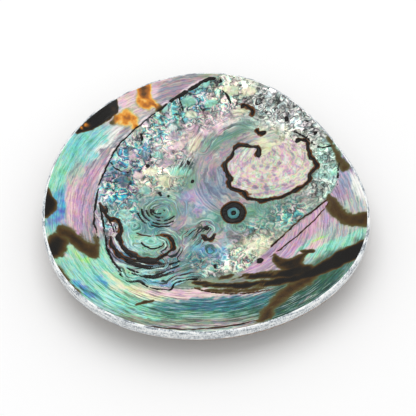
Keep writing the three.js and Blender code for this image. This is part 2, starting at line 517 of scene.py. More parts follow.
# ---------------------------------------------------------------- horn layers
# Brown conchiolin, the shell's horny glue, lies bare in patches between the nacre layers: amber or olive
# where it is thin, nearly black where it is thick. A patch has its greatest thickness from 0 to 1, how far
# its border fades, mm, whether it is amber, and its outline.
HORN_PATCHES = (
    (1.0, 0.6, 0, ((-51, 30), (-46, 31), (-40, 36), (-35, 41), (-36, 47), (-42, 46), (-50, 39))),
    (0.4, 1.6, 0, ((-38, 36), (-33, 41), (-33, 37))),
    (0.5, 2.6, 1, ((-34, 39), (-31, 42), (-28, 40), (-28, 36), (-34, 37))),
    (0.56, 2.2, 1, ((-27, 54), (-23, 58), (-22, 51), (-23, 47), (-26, 48))),
    (0.42, 2.2, 1, ((-27, 48), (-21, 48), (-20, 45), (-26, 45))),
    (0.4, 1.0, 0, ((-22, 47), (-18, 46), (-18, 42), (-20, 44))),
    (0.95, 1.6, 0, ((-62, 2), (-58, 0), (-57, -6), (-62, -11))),
    (0.62, 2.2, 0, (
        (-54, -13), (-48, -15), (-42, -19), (-41, -15), (-40, -24), (-46, -22), (-51, -18), (-54, -17),
    )),
    (0.95, 2.2, 0, ((-55, -17), (-52, -20), (-54, -27), (-59, -26))),
    (0.5, 1.6, 0, ((-57, -29), (-51, -35), (-44, -45), (-50, -42))),
    (1.0, 1.1, 0, ((62, -20), (50, -23), (42, -28), (36, -30), (34, -34), (44, -32), (62, -25))),
    (0.9, 1.0, 0, ((38, -28), (24, -29), (4, -31), (18, -32), (36, -32))),
    (1.0, 1.0, 0, ((40, -30), (27, -33), (12, -34), (-4, -33), (0, -35), (14, -36), (32, -35))),
    (0.6, 0.9, 0, ((22, -37), (8, -37), (-5, -36), (4, -38), (16, -38))),
    (0.72, 1.3, 0, ((25, -21), (30, -24), (38, -21), (35, -26), (38, -29), (28, -28))),
    (0.52, 2.0, 0, (
        (36, -33), (27, -39), (21, -48), (18, -57), (23, -57), (24, -49), (30, -42), (40, -34),
    )),
    (0.5, 1.6, 0, ((46, 1), (48, -7), (55, -13), (63, -14), (63, -9), (54, -7), (48, 2))),
    (0.75, 0.8, 0, ((-25, -46), (-22, -43), (-19, -43))),
    (0.42, 1.5, 0, ((46, 30), (53, 16), (56, 14), (52, 12), (49, 21))),
    (0.8, 0.8, 0, ((35, -20), (40, -21), (38, -22))),
)
# Small places where a patch is worn thin enough to glow, and how much of its thickness is gone.
WORN_SPOTS = ((-46.5, 33.5, 1.3, 0.55), (-48.5, 31.5, 1.0, 0.5), (-37, 42.5, 1.0, 0.35))
patch_x, patch_y = displaced(x, y, 0.9, 3, (61, 71), 4)
horn = np.zeros_like(x)
amber = np.zeros_like(x)
for thickness, softness, is_amber, points in HORN_PATCHES:
    depth = depth_inside(patch_x, patch_y, points)
    here = thickness * ease(depth, -softness, softness)
    horn = np.maximum(horn, here)
    amber = np.maximum(amber, is_amber * ease(here, 0, 0.2))
for east, north, reach, gone in WORN_SPOTS:
    glow = np.exp(-((patch_x - east) ** 2 + (patch_y - north) ** 2) / reach ** 2)
    horn *= 1 - gone * glow
    amber = np.maximum(amber, ease(glow, 0.2, 0.6))
horn *= 1 + 0.25 * rough_noise(x / 5, y / 5, 77, 4) + 0.8 * amber * rough_noise(x / 3, y / 3, 78, 3)
# The long bands at the lower right are torn into streaks.
torn = rough_noise((0.94 * patch_x + 0.34 * patch_y) / 7, (0.94 * patch_y - 0.34 * patch_x) / 1.8, 79, 4)
horn *= 1 - 0.85 * ease(torn, 0.08, 0.5) * ease(-y, 5, 15) * ease(x, -25, -10) * (1 - 0.9 * ease(x, 22, 32))


# ---------------------------------------------------------------- growth lines
# Nacre is laid down in thin sheets. Their cut edges show as fine lines that run with the rim outside the
# scar, and inside it go round whorls like the lines of a map. A whorl has its middle, its squeeze east and
# north, and its reach in mm.
WHORLS = (
    (24, 15, 0.75, 1.0, 23), (-17, -1.5, 1.0, 1.0, 11), (1, -20, 1.0, 1.0, 8), (-20.5, -17, 0.45, 1.0, 9),
    (-6.5, 37.5, 1.0, 1.0, 6), (22.5, 0.5, 1.0, 1.0, 5), (-21, 24, 1.0, 1.0, 5), (10.5, -1.6, 1.0, 1.0, 6),
    (30, 2, 1.0, 1.0, 4), (13, -8, 1.0, 1.0, 5), (-27, -9, 1, 1, 6),
)
# Steps between sheets that run along a line: the line, and how far each side of it they keep to it.
TERRACES = (
    (((22, 39), (12, 43), (2, 38), (-6, 24), (-11, 12)), 4.5),
    (((22, 35), (13, 39), (4, 35), (-1, 27)), 3.5), (((-11, -19), (-5, -12), (0, -8)), 4.5),
    (((-9, -22), (-3, -15), (1, -9)), 3.5), (SCROLL, 5.0), (OUTER_SCROLL, 5.0), (LOWER_BORDER, 4.5),
)
sheet_level = 5.0 + 3.0 * rough_noise(x / 10, y / 10, 81, 3)
for east, north, squeeze_x, squeeze_y, reach in WHORLS:
    away = np.hypot((x - east) * squeeze_x, (y - north) * squeeze_y)
    own = away + 0.8 * rough_noise(x / 2.6, y / 2.6, 91, 3)
    weight = ease(reach - away, 0, 4)
    sheet_level = sheet_level * (1 - weight) + own * weight
lower_left = ease(-x - 0.3 * y, -2, 14) * ease(-y, 14, 24)
border_level = scar_depth + 0.5 * rough_noise(x / 4, y / 4, 95, 3)
sheet_level = sheet_level * (1 - lower_left) + border_level * lower_left
terraced = np.zeros_like(x)
for points, reach in TERRACES:
    away = distance_to(wander_x, wander_y, rounded(points))
    weight = ease(reach - away, 0, 0.4 * reach)
    sheet_level = sheet_level * (1 - weight) + away * weight
    terraced = np.maximum(terraced, weight)
ISLAND_POLE = (24.5, 20.5)
island_depth = depth_inside(jagged_x, jagged_y, ISLAND + ISLAND_CLOSING)
in_island = ease(island_depth, -0.2, 0.5)
island_level = np.hypot((x - ISLAND_POLE[0]) * 0.75, y - ISLAND_POLE[1])
island_level += 0.3 * rough_noise(x / 3, y / 3, 97, 2)

# How strongly the sheets' edges show, 0 to 1: dark and deep at the lower left, faint in the calm middle.
LINED_PLACES = (
    (-20, -18, 16, 1.0), (-16, -31, 13, 1.0), (-4, -28, 10, 0.8), (-18, -2, 12, 0.9), (2, -19, 9, 0.8),
    (-34, -17, 9, 1.0), (14, 33, 10, 0.35), (-8, 14, 9, 0.45), (26, 0, 9, 0.7), (3, 14, 11, 0.5),
    (44, 12, 8, 0.7), (12, -14, 10, 0.5), (-7, 38, 7, 0.8), (-22, 22, 8, 0.7),
)
LEAST_LINED = 0.38
ISLAND_LINED = 0.24
RIM_LINED = 0.22
lined = np.maximum(LEAST_LINED, strongest(LINED_PLACES))
lined = np.maximum(lined, terraced)
lined *= 0.75 + 0.5 * soft_noise(x / 5, y / 5, 99)
lined = np.where(in_island > 0.5, ISLAND_LINED, lined)
lined = np.where(scar_depth > 0, lined, RIM_LINED + 0.38 * ease(-y, 34, 42))

RIM_FINER = 1.7
rim_level = (1 - share_out) * MEAN_RADIUS
sheet = np.where(in_island > 0.5, island_level, sheet_level)
sheet = np.where(scar_depth > 0, sheet, RIM_FINER * rim_level)


# ---------------------------------------------------------------- colours of the nacre
# Light interferes in the nacre's sheets, so most zones have the tint of their sheet thickness; the mauve
# zones just outside the scar's upper left border lay a darker, greyer band along it. The tints are few. A
# zone is a tint, its middle, half its length and width in mm, and its length's turn in degrees.
NACRE_TINTS = {
    "white": (245, 245, 240), "cream": (235, 230, 200), "silver": (185, 187, 182), "leaf": (190, 225, 150),
    "mint": (172, 218, 198), "aqua": (155, 210, 205), "sky": (125, 170, 205), "teal": (84, 128, 134),
    "deep_teal": (60, 95, 115), "sea_green": (112, 148, 134), "grey_green": (145, 150, 135),
    "pine": (62, 92, 82), "blush": (232, 205, 208), "rose": (200, 170, 188), "mauve": (165, 150, 158),
    "lavender": (172, 165, 190), "violet": (140, 136, 155),
}
RIM_ZONES = (
    ("blush", -32, 45, 9, 5, 45), ("aqua", -34, 43, 3, 1.5, 60), ("leaf", -31, 42, 3, 1.2, 60),
    ("white", -38, 29, 9, 2, 50), ("lavender", -28, 47, 4, 2, 40), ("blush", -25, 50, 7, 3, 35),
    ("mauve", -12, 54, 8, 3, 25), ("grey_green", 16, 58, 22, 3, -15), ("aqua", -47, 24, 10, 4, 55),
    ("mauve", -38, 23, 16, 3, 58), ("rose", -43, 15, 12, 2.5, 65), ("silver", -50, 12, 8, 1.2, 75),
    ("mint", -56, 10, 10, 4, 80), ("sky", -55, -1, 8, 2, 85), ("rose", -47, -1, 12, 3, 90),
    ("mauve", -45, -5, 10, 1.5, 95), ("blush", -50, 2, 8, 1.2, 85), ("mint", -50, -30, 9, 5, -50),
    ("aqua", -46, -33, 7, 1.5, -45), ("blush", -52, -25, 6, 1, -50), ("sky", -41, -29, 4, 1, -35),
    ("cream", -36, -33, 8, 1.2, -35), ("sky", -44, -40, 7, 1.2, -42), ("leaf", -44, -27, 6, 1, -40),
    ("mint", -41, -31, 9, 4, -40), ("sky", -38, -35, 6, 1.5, -40), ("mint", -30, -44, 11, 5, -25),
    ("blush", -12, -38.5, 16, 1.2, 0), ("cream", -26, -39, 9, 2, -12), ("teal", 6, -43, 20, 2, 3),
    ("sea_green", -6, -49, 22, 2, 0), ("pine", 2, -48, 18, 1, 2), ("mint", -20, -51, 9, 1.2, -5),
    ("teal", 0, -46.5, 20, 1.5, 2), ("grey_green", -8, -53.5, 24, 1.6, 0), ("mauve", 0, -55.5, 20, 0.9, 2),
    ("silver", -4, -58, 26, 2, 0), ("pine", 41, -39, 14, 5, 42), ("silver", 38, -42, 9, 0.8, 42),
    ("pine", 29, -46, 10, 5, 45), ("pine", 34, -43, 8, 3, 45), ("sea_green", 54, -31, 8, 2, 50),
    ("rose", 36, -13, 12, 4, 42), ("silver", 49, -15, 8, 3, 20), ("mint", 47, -20, 10, 1.5, 20),
    ("leaf", 43, -17, 5, 1, 30), ("mint", 37, -18, 5, 1, 40), ("blush", 40, -20, 6, 2, 30),
    ("lavender", 53, 10, 8, 3, 110), ("white", 57, 4, 6, 2, 100), ("rose", 50, 2, 6, 2, 110),
    ("silver", 55, -3, 5, 4, 80), ("rose", 24, -24, 9, 3, 40), ("grey_green", 14, -33, 16, 2, 0),
)
SCAR_ZONES = (
    ("silver", -24, 34, 10, 6, 45), ("sky", -33, 18, 9, 5, 65), ("deep_teal", -32, 9, 8, 4, 80),
    ("sky", -25, 27, 8, 3, 50), ("sky", -5, 48, 8, 2.5, 40), ("aqua", -12, 42, 12, 5, 40),
    ("cream", 10, 52, 10, 5, 10), ("blush", -13, 25, 10, 6, 30), ("blush", 2, 39, 10, 5, 30),
    ("cream", -14, 14, 10, 5, 20), ("silver", 31, 43, 16, 9, -40), ("grey_green", 36, 40, 12, 2, -42),
    ("cream", 29, 29, 8, 4, -20), ("sea_green", 7, 31, 10, 3, 20), ("sea_green", -8, 13, 7, 4, 50),
    ("mauve", 3, 21, 10, 5, 50), ("mauve", 13, 31, 7, 2, 10), ("violet", 4, 12, 8, 5, 75),
    ("mauve", 0, 17, 6, 4, 60), ("lavender", -3, 4, 6, 5, 60), ("mauve", 12, 4, 8, 3, 0),
    ("sea_green", 21, -3, 16, 5, 5), ("cream", 16, -18, 8, 4, 35), ("grey_green", 40, 4, 9, 4, 45),
    ("mint", 47, 15, 8, 4, 80), ("sea_green", -8, -13, 10, 5, 40), ("silver", 7, -14, 8, 4, 20),
    ("teal", -8, -24, 10, 3, 10), ("sky", 2, -19, 6, 3, -20), ("rose", -7, -15, 5, 2, 60),
    ("mint", -22, -31, 12, 4, -10), ("mint", -21, -17, 7, 3, -10), ("deep_teal", -24, -26, 12, 2, -15),
    ("teal", -20, -5, 6, 4, 0), ("mauve", -9, -7, 5, 4, 40), ("sky", -16, -34, 9, 2, -5),
    ("sea_green", -18, 0, 9, 7, 0), ("rose", -37, -15, 10, 3, 105), ("aqua", -33, -5, 5, 4, 0),
)
ISLAND_ZONES = (
    ("blush", 25, 15, 20, 12, 0), ("cream", 32, 12, 9, 2, -10), ("rose", 14, 18, 7, 6, 0),
    ("cream", 24, 20, 7, 3, 0), ("white", 25, 21, 3, 1.5, 0), ("rose", 22, 13, 9, 2, 0),
    ("sea_green", 23, 6, 12, 3, 10), ("mint", 27, 4.5, 14, 1.2, 12), ("mint", 13, 26, 6, 1.5, 5),
    ("cream", 37, 18, 5, 6, 0),
)


def linear(colour):
    """Screen colour, 0 to 255, as the light it stands for, 0 to 1."""
    share = np.asarray(colour, float) / 255
    return np.where(share <= 0.04045, share / 12.92, ((share + 0.055) / 1.055) ** 2.4)


ZONE_CORE = 0.3


def zone_tint(east, north, zones):
    """Each place's colour: zone tints weighted by 1 / (core + squared distance in half sizes) cubed."""
    total = np.zeros(east.shape + (3,))
    weights = np.full(east.shape, 1e-9)
    for name, middle_east, middle_north, half_long, half_wide, turn in zones:
        along, across = turned(east - middle_east, north - middle_north, turn)
        weight = 1 / (ZONE_CORE + (along / half_long) ** 2 + (across / half_wide) ** 2) ** 3
        total += weight[..., None] * linear(NACRE_TINTS[name])
        weights += weight
    return total / weights[..., None]


# Every knob takes the tint of a place a few millimetres off, and streaks outside the scar run with the rim.
KNOB_JUMP = 5.0
SOFT_JUMP = 2.0
STREAK_JUMP = 2.2
STREAKS_ROUND = 4.3
jump = KNOB_JUMP * knobby
tag_x = (big_tag - 0.5) * (1 - fine_knobs) + (small_tag - 0.5) * fine_knobs
tag_y = (big_tag_2 - 0.5) * (1 - fine_knobs) + (small_tag_2 - 0.5) * fine_knobs
soft_jump = SOFT_JUMP * rough_noise(x / 3.5, y / 3.5, 101, 4)
soft_jump_2 = SOFT_JUMP * rough_noise(x / 3.5, y / 3.5, 111, 4)
streak_across = rim_level / 1.3 + 0.5 * soft_jump
way_x, way_y = np.cos(hollow_angle), np.sin(hollow_angle)
streak = rough_noise(STREAKS_ROUND * way_x, streak_across, 121, 4) * way_y ** 2
streak = streak + rough_noise(STREAKS_ROUND * way_y, streak_across, 125, 4) * way_x ** 2
streak_x = x + STREAK_JUMP * streak * way_x + soft_jump * 1.3
streak_y = y + STREAK_JUMP * streak * way_y + soft_jump_2 * 1.3
outer_tint = zone_tint(streak_x, streak_y, RIM_ZONES)
scar_tint = zone_tint(x + soft_jump + jump * tag_x, y + soft_jump_2 + jump * tag_y, SCAR_ZONES)
island_tint = zone_tint(x + 0.8 * soft_jump, y + 0.8 * soft_jump_2, ISLAND_ZONES)
scar_tint = scar_tint + (island_tint - scar_tint) * in_island[:, None]
tint = outer_tint + (scar_tint - outer_tint) * ease(scar_depth, -0.1, 0.4)[:, None]

# Knobs vary in brightness at random, and painted shade darkens the crevices between them.
knob_light = ease(big_tag_2, 0.1, 0.95) * (1 - 0.5 * fine_knobs) + 0.5 * small_tag * fine_knobs
brightness = 1 + knobby * (0.7 * (knob_light - 0.45) + 0.3 * (small_tag - 0.5))
brightness *= 1 - 0.6 * knobby * crevice_depth_and_shade * (1 - fine_knobs) - 0.3 * knobby * small_crevice_shade
brightness = np.maximum(brightness, 0.12) * (1 + 0.10 * streak * (1 - in_scar))

# The big flakes: even in colour, with painted light that makes them brighter towards their upper left and
# darker towards their lower right, and a painted shadow, a dark crack, round the lower right.
for east, north, half_long, half_wide, turn, flake in BIG_FLAKES:
    gap_east = crumple_x - east
    gap_north = crumple_y - north
    along, across = turned(gap_east, gap_north, turn)
    reach = np.hypot(along / half_long, across / half_wide)
    # Painted light: brighter towards the upper left, darker towards the lower right.
    painted_flake_light = np.clip(1.05 + 0.12 * (gap_north - gap_east) / half_wide, 0.6, 1.25)
    share = 0.9 * (1 - ease(reach, 0.7, 1.05)) * in_scar
    # Painted shadow: a dark line round the flake's lower right only.
    painted_flake_edge_shadow = ease(reach, 0.9, 1.05) * (1 - ease(reach, 1.1, 1.35)) * in_scar
    painted_flake_edge_shadow *= ease(gap_east - gap_north, -0.5, 1.5)
    tint = tint * (1 - share[:, None]) + linear(NACRE_TINTS[flake]) * 0.95 * share[:, None]
    brightness = brightness * (1 - share) + painted_flake_light * share
    brightness *= 1 - 0.5 * painted_flake_edge_shadow
    knobby *= 1 - 0.9 * share

# The scar's raised edge is pale, the island's lower lip is mint and the ring's pearl is teal.
LIP_TINT = linear((250, 240, 240))
PEARL_TINT = linear((84, 120, 132))
tint = tint + (LIP_TINT - tint) * 0.85 * pale_lip[:, None]
island_lip = 0.7 * in_island * (1 - ease(island_depth, 0.9, 2.0)) * ease(24 - y, 0, 6)
tint = tint + (linear(NACRE_TINTS["mint"]) - tint) * island_lip[:, None]
pearl = (1 - ease(ring_away, RING_PEARL, RING_PEARL + 0.3))[:, None]
tint = tint * (1 - pearl) + PEARL_TINT * pearl
tint = np.clip(tint * brightness[:, None], 0.0, 1.0)


# ---------------------------------------------------------------- relief of the hollow side
# Knobs stand up to about half a millimetre proud and seams are sunk a third. The scar and the island are
# each a low step up. It all fades out towards the polished lip, and none of it rises above the shell's top.
KNOB_RISE = 0.35
SMALL_KNOB_RISE = 0.2
CREVICE_DROP = 0.25
SCAR_STEP = 0.35
SHEET_RISE = 0.12
SEAM_DROP = 0.35
STREAK_RISE = 0.06
RING_DROP = 0.25
ISLAND_STEP = 0.15
knob_dome = 1 - ease(big_first, 0, 0.75)
small_dome = 1 - ease(small_first, 0, 0.75)
relief = (KNOB_RISE * knob_dome - CREVICE_DROP * crevice_depth_and_shade) * (1 - fine_knobs)
relief = knobby * (relief + SMALL_KNOB_RISE * small_dome)
relief += SCAR_STEP * in_scar
relief += SHEET_RISE * in_scar * (1 - knobby) * soft_noise(sheet_level / 0.8, x / 9, 161)
relief -= SEAM_DROP * ease(seam, 0.1, 0.9)
relief += STREAK_RISE * (1 - in_scar) * streak
relief -= RING_DROP * ring_black
relief += ISLAND_STEP * in_island
relief *= rim_fade

TOP_MARGIN = 0.01
hollow_z = hollow_height(share_out, hollow_angle) + relief
hollow_z = np.minimum(hollow_z, high_corner.z / MM - TOP_MARGIN)


# ---------------------------------------------------------------- the back
# The natural outside: low ribs and growth lines that arc round the apex, with a limy crust. It is left as
# it grew but for a small flat, ground on the crown so that the shell stands steady.
APEX = (22.0, 20.0)
GROWTH_STEP = 6.5
RIB_COUNT = 26
GROWTH_RISE = 0.22
RIB_RISE = 0.16
CRUST_RISE = 0.25
back_share_out = back_share * (1 - BACK_CHAMFER / MEAN_RADIUS)
bx, by = place_on_plan(back_share_out, back_angle)
apex_away = np.hypot(bx - APEX[0], by - APEX[1])
apex_turn = np.arctan2(by - APEX[1], bx - APEX[0])
rib_wander = 2.0 * rough_noise(bx / 12, by / 12, 131, 4)
growth_wave = np.sin(2 * math.pi * (apex_away + rib_wander) / GROWTH_STEP)
spiral_rib = np.sin(apex_turn * RIB_COUNT + 0.12 * apex_away + 0.5 * rib_wander)
off_flat = ease(back_share_out, FLAT_SHARE, FLAT_SHARE + 0.12) * (1 - ease(back_share_out, 0.95, 0.99))
back_relief = GROWTH_RISE * (1 + growth_wave) + RIB_RISE * (1 + spiral_rib) * ease(apex_away, 8, 20)
back_relief += CRUST_RISE * np.clip(rough_noise(bx / 3, by / 3, 141, 4), 0, 1)
back_z = back_height(back_share_out, back_angle) + off_flat * back_relief


# ---------------------------------------------------------------- the ground edge
# The cut edge stands upright under a rounded lip. Its layers show as fine silvery lines, with the horny
# outer skin below them, and it keeps a slight ripple from the grinding.
LIP_TURNS = (30, 60, 90)
EDGE_LEVELS = (14.2, 13.1, LIP_Z - EDGE_HEIGHT + BACK_CHAMFER)
EDGE_RIPPLE = 0.06
rim = grid_rim(HOLLOW_CELLS)
rim_angle = hollow_angle[rim]
edge_rows = []
for turn in LIP_TURNS:
    bend = math.radians(turn)
    out = LIP_START + LIP_ROUND / MEAN_RADIUS * math.sin(bend)
    drop = LIP_ROUND * (1 - math.cos(bend))
    edge_rows.append((out, LIP_Z - drop))
edge_rows += [(1.0, level) for level in EDGE_LEVELS]
edge_points = []
for out, level in edge_rows:
    shares = np.full(rim_angle.shape, out)
    ripple = 1 + soft_noise(rim_angle * 60, np.full(rim_angle.shape, level * 3), 151)
    inset = EDGE_RIPPLE * ripple / MEAN_RADIUS if out >= 1 else 0
    ex, ey = place_on_plan(shares - inset, rim_angle)
    ez = level + lip_wave(shares, rim_angle)
    edge_points.append(np.column_stack([ex, ey, ez]))


# ---------------------------------------------------------------- one closed mesh
# The shell grew as one piece, so it is one mesh: the hollow side's grid, the rings of points down the edge
# and the back's grid, which is half as fine, joined point by point.
hollow_points = np.column_stack([plan_x, plan_y, hollow_z])
back_points = np.column_stack([bx, by, back_z])
points = np.vstack([hollow_points] + edge_points + [back_points])
edge_start = len(hollow_points)
back_start = len(points) - len(back_points)


def grid_faces(cells, start, upward):
    """The squares of a grid whose points are numbered from start, wound to face up, or else down."""
    index = np.arange((cells + 1) ** 2).reshape(cells + 1, cells + 1) + start
    corners = [index[:-1, :-1], index[:-1, 1:], index[1:, 1:], index[1:, :-1]]
    if not upward:
        corners = corners[:1] + corners[:0:-1]
    return np.column_stack([corner.ravel() for corner in corners])


hollow_faces = grid_faces(HOLLOW_CELLS, 0, True)
back_faces = grid_faces(BACK_CELLS, back_start, False)
rows = [rim] + [edge_start + row * len(rim) + np.arange(len(rim)) for row in range(len(edge_points))]
edge_faces = np.vstack([
    np.column_stack([upper, lower, np.roll(lower, -1), np.roll(upper, -1)])
    for upper, lower in zip(rows[:-1], rows[1:])
])
# Three triangles join each two steps of the edge's last ring to one step of the back's border.
back_rim = grid_rim(BACK_CELLS) + back_start
even_points = rows[-1][0::2]
odd_points = rows[-1][1::2]
chamfer_faces = np.vstack([
    np.column_stack([even_points, back_rim, odd_points]),
    np.column_stack([odd_points, back_rim, np.roll(back_rim, -1)]),
    np.column_stack([odd_points, np.roll(back_rim, -1), np.roll(even_points, -1)]),
])

mesh = bpy.data.meshes.new("abalone_nacre_shell")
faces = hollow_faces.tolist() + edge_faces.tolist() + chamfer_faces.tolist() + back_faces.tolist()
mesh.from_pydata((points * MM).tolist(), [], faces)
mesh.update()
NACRE_SLOT, EDGE_SLOT, BACK_SLOT = range(3)
face_slots = np.full(len(faces), EDGE_SLOT)
face_slots[:len(hollow_faces)] = NACRE_SLOT
face_slots[len(faces) - len(back_faces):] = BACK_SLOT
mesh.polygons.foreach_set("material_index", face_slots)
mesh.polygons.foreach_set("use_smooth", np.ones(len(faces), bool))


def down_the_edge(hollow_values):
    """The hollow side's values, with those of its rim repeated for each ring of the edge."""
    rim_values = hollow_values[rim]
    return np.concatenate([hollow_values] + [rim_values] * len(edge_points))


def keep_numbers(name, values):
    """Stores one number a vertex for the materials."""
    mesh.attributes.new(name, "FLOAT", "POINT").data.foreach_set("value", values.astype(np.float32))


hollow_numbers = {
    "seam": seam, "brown_edge": brown_edge, "horn": horn, "amber": amber, "lined": lined, "knobby": knobby,
    "sheet": sheet, "in_scar": in_scar, "fine_knobs": fine_knobs, "island": in_island,
}
for name, values in hollow_numbers.items():
    keep_numbers(name, np.concatenate([down_the_edge(values), np.zeros(len(back_points))]))
worn_border = back_share_out + 0.02 * rough_noise(bx / 4, by / 4, 171, 3)
worn = 1 - ease(worn_border, FLAT_SHARE, FLAT_SHARE + 0.05)
keep_numbers("on_flat", np.concatenate([np.zeros(back_start), worn]))
tint_all = np.ones((len(points), 4))
tint_all[:back_start, :3] = down_the_edge(tint)
tint_layer = mesh.attributes.new("tint", "FLOAT_COLOR", "POINT")
tint_layer.data.foreach_set("color", tint_all.astype(np.float32).ravel())

shell = bpy.data.objects.new("abalone_nacre_shell", mesh)
bpy.context.scene.collection.objects.link(shell)


# ---------------------------------------------------------------- materials
# Three finishes: polished nacre on the hollow side, the ground edge where the layers are cut through, and
# the natural back. Each reads numbers stored on the mesh and places in the shell's own millimetres.
def flat(colour):
    """A screen colour, 0 to 255, as a socket takes it."""
    return (*linear(colour), 1)


class Paint:
    """A material's node tree, with short ways to add the nodes that the shell's finishes share."""

    def __init__(self, name):
        self.material = bpy.data.materials.new(name)
        self.material.use_nodes = True
        self.tree = self.material.node_tree
        self.surface = self.tree.nodes["Principled BSDF"]

    def feed(self, socket, value):
        """Links an output to a socket, or sets the socket when the value is a plain one."""
        if isinstance(value, bpy.types.NodeSocket):
            self.tree.links.new(value, socket)
        else:
            socket.default_value = value

    def stored(self, name, output="Fac"):
        """One of the mesh's stored numbers, or its stored colour."""
        node = self.tree.nodes.new("ShaderNodeAttribute")
        node.attribute_name = name
        return node.outputs[output]

    def math(self, operation, *values):
        """A Math node's result."""
        node = self.tree.nodes.new("ShaderNodeMath")
        node.operation = operation
        for socket, value in zip(node.inputs, values):
            self.feed(socket, value)
        return node.outputs[0]

    def ramp(self, value, *stops):
        """A ColorRamp: stops are (position, colour) with colours 0 to 255."""
        node = self.tree.nodes.new("ShaderNodeValToRGB")
        elements = node.color_ramp.elements
        while len(elements) < len(stops):
            elements.new(1)
        for element, (position, colour) in zip(elements, stops):
            element.position = position
            element.color = flat(colour)
        self.feed(node.inputs["Fac"], value)
        return node.outputs["Color"]

    def span(self, value, low, high, to_low=0.0, to_high=1.0):
        """Smoothly maps low..high to to_low..to_high."""
        node = self.tree.nodes.new("ShaderNodeMapRange")
        node.interpolation_type = "SMOOTHSTEP"
        self.feed(node.inputs["Value"], value)
        self.feed(node.inputs["From Min"], low)
        self.feed(node.inputs["From Max"], high)
        self.feed(node.inputs["To Min"], to_low)
        self.feed(node.inputs["To Max"], to_high)
        return node.outputs["Result"]

    def mix(self, share, first, second, blend="MIX"):
        """The first colour at share 0 and the second, blended over it, at share 1."""
        node = self.tree.nodes.new("ShaderNodeMix")
        node.data_type = "RGBA"
        node.blend_type = blend
        node.clamp_factor = True
        self.feed(node.inputs["Factor"], share)
        colour_inputs = [socket for socket in node.inputs if socket.type == "RGBA"]
        self.feed(colour_inputs[0], first)
        self.feed(colour_inputs[1], second)
        return [socket for socket in node.outputs if socket.type == "RGBA"][0]

    def place(self, *sizes):
        """Object coordinates, counted in units of one size, mm, or of one size for each axis."""
        coordinates = self.tree.nodes.new("ShaderNodeTexCoord")
        mapping = self.tree.nodes.new("ShaderNodeMapping")
        sizes = sizes * 3 if len(sizes) == 1 else sizes
        mapping.inputs["Scale"].default_value = [1 / (size * MM) for size in sizes]
        self.tree.links.new(coordinates.outputs["Object"], mapping.inputs["Vector"])
        return mapping.outputs["Vector"]

    def joined(self, first, second, third=0.0):
        """A vector of three numbers."""
        node = self.tree.nodes.new("ShaderNodeCombineXYZ")
        for socket, value in zip(node.inputs, (first, second, third)):
            self.feed(socket, value)
        return node.outputs["Vector"]

    def split(self, value, vector=False):
        """The three parts of a colour or a vector."""
        node = self.tree.nodes.new("ShaderNodeSeparateXYZ" if vector else "ShaderNodeSeparateColor")
        self.feed(node.inputs[0], value)
        return list(node.outputs)

    def noise(self, where, detail=3.0, roughness=0.55, colour=False):
        """Noise with one bump a unit of the place, as a number or as three at once in a colour."""
        node = self.tree.nodes.new("ShaderNodeTexNoise")
        node.inputs["Scale"].default_value = 1.0
        node.inputs["Detail"].default_value = detail
        node.inputs["Roughness"].default_value = roughness
        self.feed(node.inputs["Vector"], where)
        return node.outputs["Color" if colour else "Fac"]

    def voronoi(self, where, feature="F1"):
        """Voronoi cells a unit wide, seen from above."""
        node = self.tree.nodes.new("ShaderNodeTexVoronoi")
        node.feature = feature
        node.voronoi_dimensions = "2D"
        node.inputs["Scale"].default_value = 1.0
        self.feed(node.inputs["Vector"], where)
        return node

    def edges(self, where):
        """Distance to the nearest border between Voronoi cells."""
        return self.voronoi(where, "DISTANCE_TO_EDGE").outputs["Distance"]

    def shifted(self, where, by, amount):
        """A place moved by a noise colour, by amount from the colour's black to its white."""
        node = self.tree.nodes.new("ShaderNodeVectorMath")
        node.operation = "MULTIPLY_ADD"
        self.feed(node.inputs[0], by)
        node.inputs[1].default_value = (amount, amount, amount)
        self.feed(node.inputs[2], where)
        return node.outputs[0]

    def centred(self, value, strength, base):
        """base plus strength times how far value is above a half."""
        return self.math("MULTIPLY_ADD", self.math("SUBTRACT", value, 0.5), strength, base)

    def length(self, first, second):
        """The long side of a right triangle with the two short sides."""
        squares = self.math("ADD", self.product(first, first), self.product(second, second))
        return self.math("SQRT", squares)

    def product(self, *values):
        """All the values multiplied together."""
        total = values[0]
        for value in values[1:]:
            total = self.math("MULTIPLY", total, value)
        return total

    def bump(self, height, distance, under=None):
        """A normal tilted as if the height, 0 to 1, stood up by a distance, mm, over the bump under it."""
        node = self.tree.nodes.new("ShaderNodeBump")
        node.inputs["Strength"].default_value = 1.0
        node.inputs["Distance"].default_value = distance * MM
        self.feed(node.inputs["Height"], height)
        if under is not None:
            self.feed(node.inputs["Normal"], under)
        return node.outputs["Normal"]


nacre = Paint("nacre")
knobby_value = nacre.stored("knobby")
in_scar_value = nacre.stored("in_scar")
silver_value = nacre.stored("fine_knobs")

# The knobs are broken sheets seen edge on. Their edges are the height lines of a soft noise, and each flake
# has a height of its own, so the lines bend into arcs and break off at black cracks.
FLAKE = 4.4
CHIP = 1.3
crumple = nacre.noise(nacre.place(3.0), 3.0, 0.6, colour=True)
flake_place = nacre.shifted(nacre.place(FLAKE), crumple, 1.5)
chip_place = nacre.shifted(nacre.place(CHIP), crumple, 3.0)
flake_tag = nacre.split(nacre.voronoi(flake_place).outputs["Color"])
chip_tag = nacre.split(nacre.voronoi(chip_place).outputs["Color"])
height = nacre.noise(nacre.shifted(nacre.place(4.2), crumple, 0.8), 1.0, 0.5)
sheet_number = nacre.math("ADD", nacre.product(height, 5.0), nacre.product(flake_tag[0], 2.0))
patch = nacre.span(nacre.noise(nacre.place(4.5), 3.0, 0.5), 0.36, 0.64)
arc_share = nacre.math("FRACT", sheet_number)
arcs = nacre.math("SINE", nacre.product(sheet_number, 2.5 * math.pi))
where_cracked = nacre.span(nacre.noise(nacre.place(3.1), 3.0, 0.6), 0.42, 0.54)
